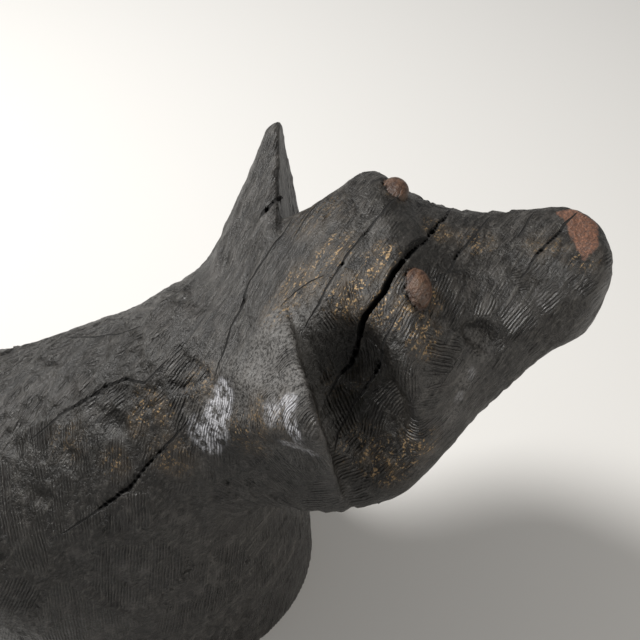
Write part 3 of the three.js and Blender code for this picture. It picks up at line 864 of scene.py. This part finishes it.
GRAIN_TURN = (0.0, 0.306, 2.431)  # the fibres run along X turned by this, in radians
FIBRE_STRETCH = 16.0
CHAIN_SCORE = 0.0027  # the chain's scores stand this far apart, in metres
FINE_SCORE = 0.41 * CHAIN_SCORE
SCORE_WANDER = 0.0030
CHIP_WIDE = 0.0065
CHIP_LONG = 0.0170
CHIP_MIDDLE = 0.45
TONE = 0.25  # how pale the char is
RELIEF_SIZE = 0.0015  # metres for a height of 1, in the relief finer than the mesh
COLOUR = {
    "char": (0.028, 0.024, 0.020, 1),
    "warm char": (0.062, 0.053, 0.044, 1),
    "brown char": (0.098, 0.090, 0.080, 1),
    "crest": (0.24, 0.23, 0.22, 1),
    "chip edge": (0.26, 0.24, 0.22, 1),
    "chip bed": (0.02, 0.018, 0.015, 1),
    "bright fibre": (0.30, 0.28, 0.25, 1),
    "dark fibre": (0.012, 0.010, 0.009, 1),
    "pore": (0.010, 0.009, 0.008, 1),
    "furrow": (0.016, 0.013, 0.010, 1),
    # painted highlight
    "painted highlight": (0.52, 0.50, 0.475, 1),
    "deep mark": (0.014, 0.012, 0.011, 1),
    "brown tint": (0.115, 0.080, 0.045, 1),
    "dark ochre": (0.20, 0.125, 0.055, 1),
    "ochre": (0.44, 0.30, 0.15, 1),
    # white scuffs, also a painted highlight on the jaw's ridge
    "white scuff and highlight": (0.54, 0.54, 0.57, 1),
    # painted shade
    "painted shade": (0.006, 0.0055, 0.004, 1),
    # painted shade in the groove round each eye
    "socket": (0.004, 0.0035, 0.003, 1),
    "dark eye": (0.045, 0.020, 0.012, 1),
    "red eye": (0.150, 0.080, 0.048, 1),
    "worn eye": (0.115, 0.080, 0.055, 1),
    "dark nose": (0.105, 0.048, 0.028, 1),
    "red nose": (0.24, 0.118, 0.075, 1),
    "brown nose": (0.10, 0.055, 0.04, 1),
    "crack": (0.003, 0.0025, 0.002, 1),
}


def stained(n, colour, stains):
    """Lays stains over a colour in turn, each with a mask, its strength and a colour's name."""
    for mask, strength, name in stains:
        colour = n.mix(n.math("MULTIPLY", mask, strength), colour, COLOUR[name])
    return colour


def score_lines(n, place, apart):
    """Scores side by side, from 0 in a furrow to 1 on a crest."""
    turn = n.math("MULTIPLY", place, 2 * math.pi / apart)
    return n.math("MULTIPLY_ADD", n.math("SINE", turn), 0.5, 0.5)


def add_noises(n, w):
    w.where = n.new("ShaderNodeTexCoord").outputs["Object"]
    fibres = n.new("ShaderNodeMapping", vector_type="TEXTURE")
    n.put(fibres.inputs["Vector"], w.where)
    fibres.inputs["Rotation"].default_value = GRAIN_TURN
    fibres.inputs["Scale"].default_value = (FIBRE_STRETCH, 1.0, 1.0)
    w.along_fibres = fibres.outputs["Vector"]
    w.broad = n.noise(w.where, 14.0, 3.0)
    w.cloud = n.noise(w.where, 55.0, 4.0)
    w.speck = n.noise(w.where, 420.0, 3.0, 0.65)
    w.flecks = n.noise(w.where, 460.0, 2.0, 0.6)
    w.fibre = n.noise(w.along_fibres, 330.0, 4.0, 0.6)


def add_scores(n, w):
    """The scores that the chain's cutters leave, side by side across each stroke."""
    stroke = n.math("MULTIPLY", n.layer("stroke"), 0.001)
    wobble = n.math("SUBTRACT", n.noise(w.where, 90.0, 2.0), 0.5)
    w.stroke = n.math("ADD", stroke, n.math("MULTIPLY", wobble, SCORE_WANDER))
    w.score = score_lines(n, w.stroke, CHAIN_SCORE)
    w.fine = score_lines(n, w.stroke, FINE_SCORE)
    shown = n.between(n.noise(w.where, 38.0, 2.0), 0.38, 0.62)
    w.strength = n.math("MULTIPLY", n.layer("stroke_look"), shown)
    w.ridges = n.math("MULTIPLY", w.score, w.strength)
    w.furrow = n.math("MULTIPLY", n.math("SUBTRACT", 1.0, w.score), w.strength)


def add_chips(n, w):
    """The chips that a stroke takes, one after another."""
    place = n.new("ShaderNodeCombineXYZ")
    n.put(place.inputs[0], n.math("MULTIPLY", w.stroke, 1 / CHIP_WIDE))
    n.put(place.inputs[1], n.math("MULTIPLY", n.layer("stroke_along"), 0.001 / CHIP_LONG))
    chips = n.new("ShaderNodeTexVoronoi", feature="SMOOTH_F1")
    n.put(chips.inputs["Vector"], place.outputs[0])
    chips.inputs["Scale"].default_value = 1.0
    chips.inputs["Smoothness"].default_value = 0.25
    chip = n.math("SUBTRACT", chips.outputs["Distance"], CHIP_MIDDLE)
    w.chip = n.math("MULTIPLY_ADD", chip, n.layer("in_stroke"), CHIP_MIDDLE)


def add_cracks(n, w):
    """Open cracks, and the short checks between the fibres."""
    gap = n.math("SUBTRACT", n.math("ABSOLUTE", n.layer("crack_across")), n.layer("crack_half"))
    has_crack = n.between(n.layer("crack_half"), 0.25, 0.5)
    w.crack = n.math("MULTIPLY", n.between(gap, 0.35, -0.15), has_crack)
    check = n.noise(w.along_fibres, 210.0, 2.0, 0.5, 0.2)
    checked = n.between(w.broad, 0.42, 0.6)
    w.checks = n.math("MULTIPLY", n.between(check, 0.31, 0.27), checked)


def char_colour(n, w):
    """Blackened wood, darker in its furrows and paler on its crests, with a painted highlight in pale speckle
    where the light falls.
    """
    char = n.mix(n.between(w.broad, 0.35, 0.7), COLOUR["char"], COLOUR["warm char"])
    char = stained(n, char, [
        (n.between(w.cloud, 0.35, 0.72), 1.0, "brown char"),
        (w.ridges, 0.55, "crest"),
        (n.between(w.chip, 0.45, 0.85), 0.6, "chip edge"),
        (n.between(w.chip, 0.30, 0.05), 0.5, "chip bed"),
        (n.between(w.fibre, 0.50, 0.70), 0.7, "bright fibre"),
        (n.between(w.fibre, 0.46, 0.30), 0.7, "dark fibre"),
        (n.between(w.speck, 0.46, 0.34), 0.6, "pore"),
        (w.furrow, 0.6, "furrow"),
        # painted highlight: pale speckle where the light falls on the ear and jaw
        (n.math("MULTIPLY", n.layer("painted_highlight"), n.between(w.speck, 0.40, 0.58)), 0.75, "painted highlight"),
        (n.between(n.layer("hollow"), 1.0, 3.0), 0.45, "deep mark"),
    ])
    tone = n.new("ShaderNodeVectorMath", operation="SCALE")
    n.put(tone.inputs[0], char)
    tone.inputs["Scale"].default_value = TONE
    return tone.outputs["Vector"]


def worn_colour(n, w, char):
    """Ochre wood showing through in flecks, then white scuffs with a painted highlight on the jaw's ridge,
    then painted shade, and painted shade in the groove round each eye.
    """
    ochre = n.layer("worn_ochre")
    tint = n.math("MULTIPLY", ochre, n.between(w.cloud, 0.40, 0.62))
    char = stained(n, char, [(tint, 0.35, "brown tint")])
    runs = n.between(n.noise(w.along_fibres, 240.0, 2.0, 0.5), 0.46, 0.58)
    fleck = n.math("MULTIPLY", n.between(w.flecks, 0.53, 0.60), runs)
    fleck = n.math("MULTIPLY", fleck, n.between(ochre, 0.05, 0.9))
    char = n.mix(fleck, char, n.mix(w.speck, COLOUR["dark ochre"], COLOUR["ochre"]))
    mottle = n.between(n.noise(w.where, 170.0, 3.0, 0.7), 0.38, 0.58)
    # white scuffs, and a painted highlight along the jaw's ridge
    scuff_and_highlight = n.math("MULTIPLY", n.between(n.layer("scuffed_and_highlight"), 0.15, 0.8), mottle)
    scuff_and_highlight = n.math("MULTIPLY", scuff_and_highlight, n.math("MULTIPLY_ADD", w.score, 0.7, 0.3))
    return stained(n, char, [
        (scuff_and_highlight, 0.85, "white scuff and highlight"),
        # painted shade
        (n.layer("painted_shade"), 0.85, "painted shade"),
        # painted shade in the groove round each eye
        (n.layer("eye_groove_shade"), 0.85, "socket"),
    ])


def face_colour(n, w, char):
    """The reddish eyes and the bare pad of the nose, with a ragged edge."""
    eye_wood = n.mix(n.between(w.fibre, 0.35, 0.65), COLOUR["dark eye"], COLOUR["red eye"])
    eye_wood = n.mix(n.between(w.cloud, 0.52, 0.7), eye_wood, COLOUR["worn eye"])
    char = n.mix(n.layer("eye_mask"), char, eye_wood)
    pad_wood = n.mix(n.between(w.speck, 0.35, 0.65), COLOUR["dark nose"], COLOUR["red nose"])
    pad_wood = n.mix(n.between(w.flecks, 0.58, 0.44), pad_wood, COLOUR["brown nose"])
    pad = n.layer("nose_pad")
    for pattern, ragged in [(w.cloud, 14.0), (w.speck, 6.0)]:
        pad = n.math("MULTIPLY_ADD", n.math("SUBTRACT", pattern, 0.5), ragged, pad)
    return n.mix(n.between(pad, 1.2, -1.2), char, pad_wood)


def fine_relief(n, w):
    """The relief that is finer than the mesh."""
    height = n.math("MULTIPLY", w.ridges, 0.95)
    for pattern, amount in [
        (n.math("MULTIPLY", w.fine, w.strength), 0.16),
        (w.fibre, 1.3),
        (w.speck, 0.75),
        (w.chip, 1.1),
        (w.cloud, 1.3),
        (w.crack, -2.6),
        (w.checks, -0.9),
    ]:
        height = n.math("MULTIPLY_ADD", pattern, amount, height)
    bump = n.new("ShaderNodeBump")
    bump.inputs["Strength"].default_value = 1.0
    bump.inputs["Distance"].default_value = RELIEF_SIZE
    n.put(bump.inputs["Height"], height)
    return bump.outputs["Normal"]


def blackened_wood():
    material = bpy.data.materials.new("blackened_wood")
    n = Nodes(material)
    w = SimpleNamespace()
    for add in (add_noises, add_scores, add_chips, add_cracks):
        add(n, w)
    colour = face_colour(n, w, worn_colour(n, w, char_colour(n, w)))
    opened = n.math("MAXIMUM", w.crack, n.math("MULTIPLY", w.checks, 0.8))
    colour = n.mix(opened, colour, COLOUR["crack"])
    rough = n.math("MULTIPLY_ADD", n.noise(w.where, 120.0, 3.0), 0.35, 0.27)
    rough = n.math("ADD", rough, n.math("MULTIPLY", w.crack, 0.4), clamp=True)
    shader = n.new("ShaderNodeBsdfPrincipled")
    n.put(shader.inputs["Base Color"], colour)
    n.put(shader.inputs["Roughness"], rough)
    shader.inputs["Specular IOR Level"].default_value = 0.42
    n.put(shader.inputs["Normal"], fine_relief(n, w))
    output = n.new("ShaderNodeOutputMaterial")
    n.put(output.inputs["Surface"], shader.outputs["BSDF"])
    return material


# ---- the room ---------------------------------------------------------------------------------
CAMERA_UP = 48.0  # degrees above the horizon
CAMERA_BEHIND = 6.0  # degrees behind the bear's right side
CAMERA_AWAY = 0.924
CAMERA_LENS = 65.0
AIM_RIGHT = -0.0688
AIM_UP = -0.0656


def make_camera():
    up, behind = math.radians(CAMERA_UP), math.radians(CAMERA_BEHIND)
    back = Vector((-math.cos(up) * math.cos(behind), math.cos(up) * math.sin(behind), math.sin(up)))
    right = Vector((0, 0, 1)).cross(back).normalized()
    above = back.cross(right)
    brow = Vector((0, -BROW_FORWARD, BROW_HEIGHT)) / 1000.0
    aim = brow + right * AIM_RIGHT + above * AIM_UP
    data = bpy.data.cameras.new("camera")
    data.lens = CAMERA_LENS
    camera = bpy.data.objects.new("camera", data)
    camera.location = aim + back * CAMERA_AWAY
    camera.rotation_mode = "QUATERNION"
    camera.rotation_quaternion = back.to_track_quat("Z", "Y")
    bpy.context.scene.collection.objects.link(camera)
    bpy.context.scene.camera = camera


def make_light(name, place, size, power, colour):
    data = bpy.data.lights.new(name, "AREA")
    data.shape = "DISK"
    data.size = size
    data.energy = power
    data.color = colour
    light = bpy.data.objects.new(name, data)
    light.location = place
    aim = Vector((0, -0.12, 0.35)) - Vector(place)
    light.rotation_mode = "QUATERNION"
    light.rotation_quaternion = aim.to_track_quat("-Z", "Y")
    bpy.context.scene.collection.objects.link(light)


def make_room():
    mesh = bpy.data.meshes.new("floor")
    reach, level = 9.0, FLOOR / 1000.0
    ring = [(-reach, -reach), (reach, -reach), (reach, reach), (-reach, reach)]
    mesh.from_pydata([(x, y, level) for x, y in ring], [], [(0, 1, 2, 3)])
    floor = bpy.data.objects.new("floor", mesh)
    paint = bpy.data.materials.new("pale_floor")
    n = Nodes(paint)
    shader = n.new("ShaderNodeBsdfPrincipled")
    shader.inputs["Base Color"].default_value = (0.64, 0.632, 0.615, 1)
    shader.inputs["Roughness"].default_value = 0.6
    output = n.new("ShaderNodeOutputMaterial")
    n.put(output.inputs["Surface"], shader.outputs["BSDF"])
    mesh.materials.append(paint)
    bpy.context.scene.collection.objects.link(floor)
    world = bpy.data.worlds.new("room")
    world.use_nodes = True
    sky = world.node_tree.nodes["Background"]
    sky.inputs["Color"].default_value = (0.93, 0.96, 1.0, 1)
    sky.inputs["Strength"].default_value = 0.17
    bpy.context.scene.world = world
    make_light("key", (0.75, 1.05, 1.95), 0.7, 78.0, (1.0, 0.985, 0.96))
    make_light("fill", (-1.1, -1.8, 1.3), 1.0, 25.0, (1.0, 0.95, 0.88))


carving = make_carving()
carving.data.materials.append(blackened_wood())
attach(carving, "root")
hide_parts("carved_bear")
make_camera()
make_room()
bpy.context.scene.view_settings.view_transform = "Standard"
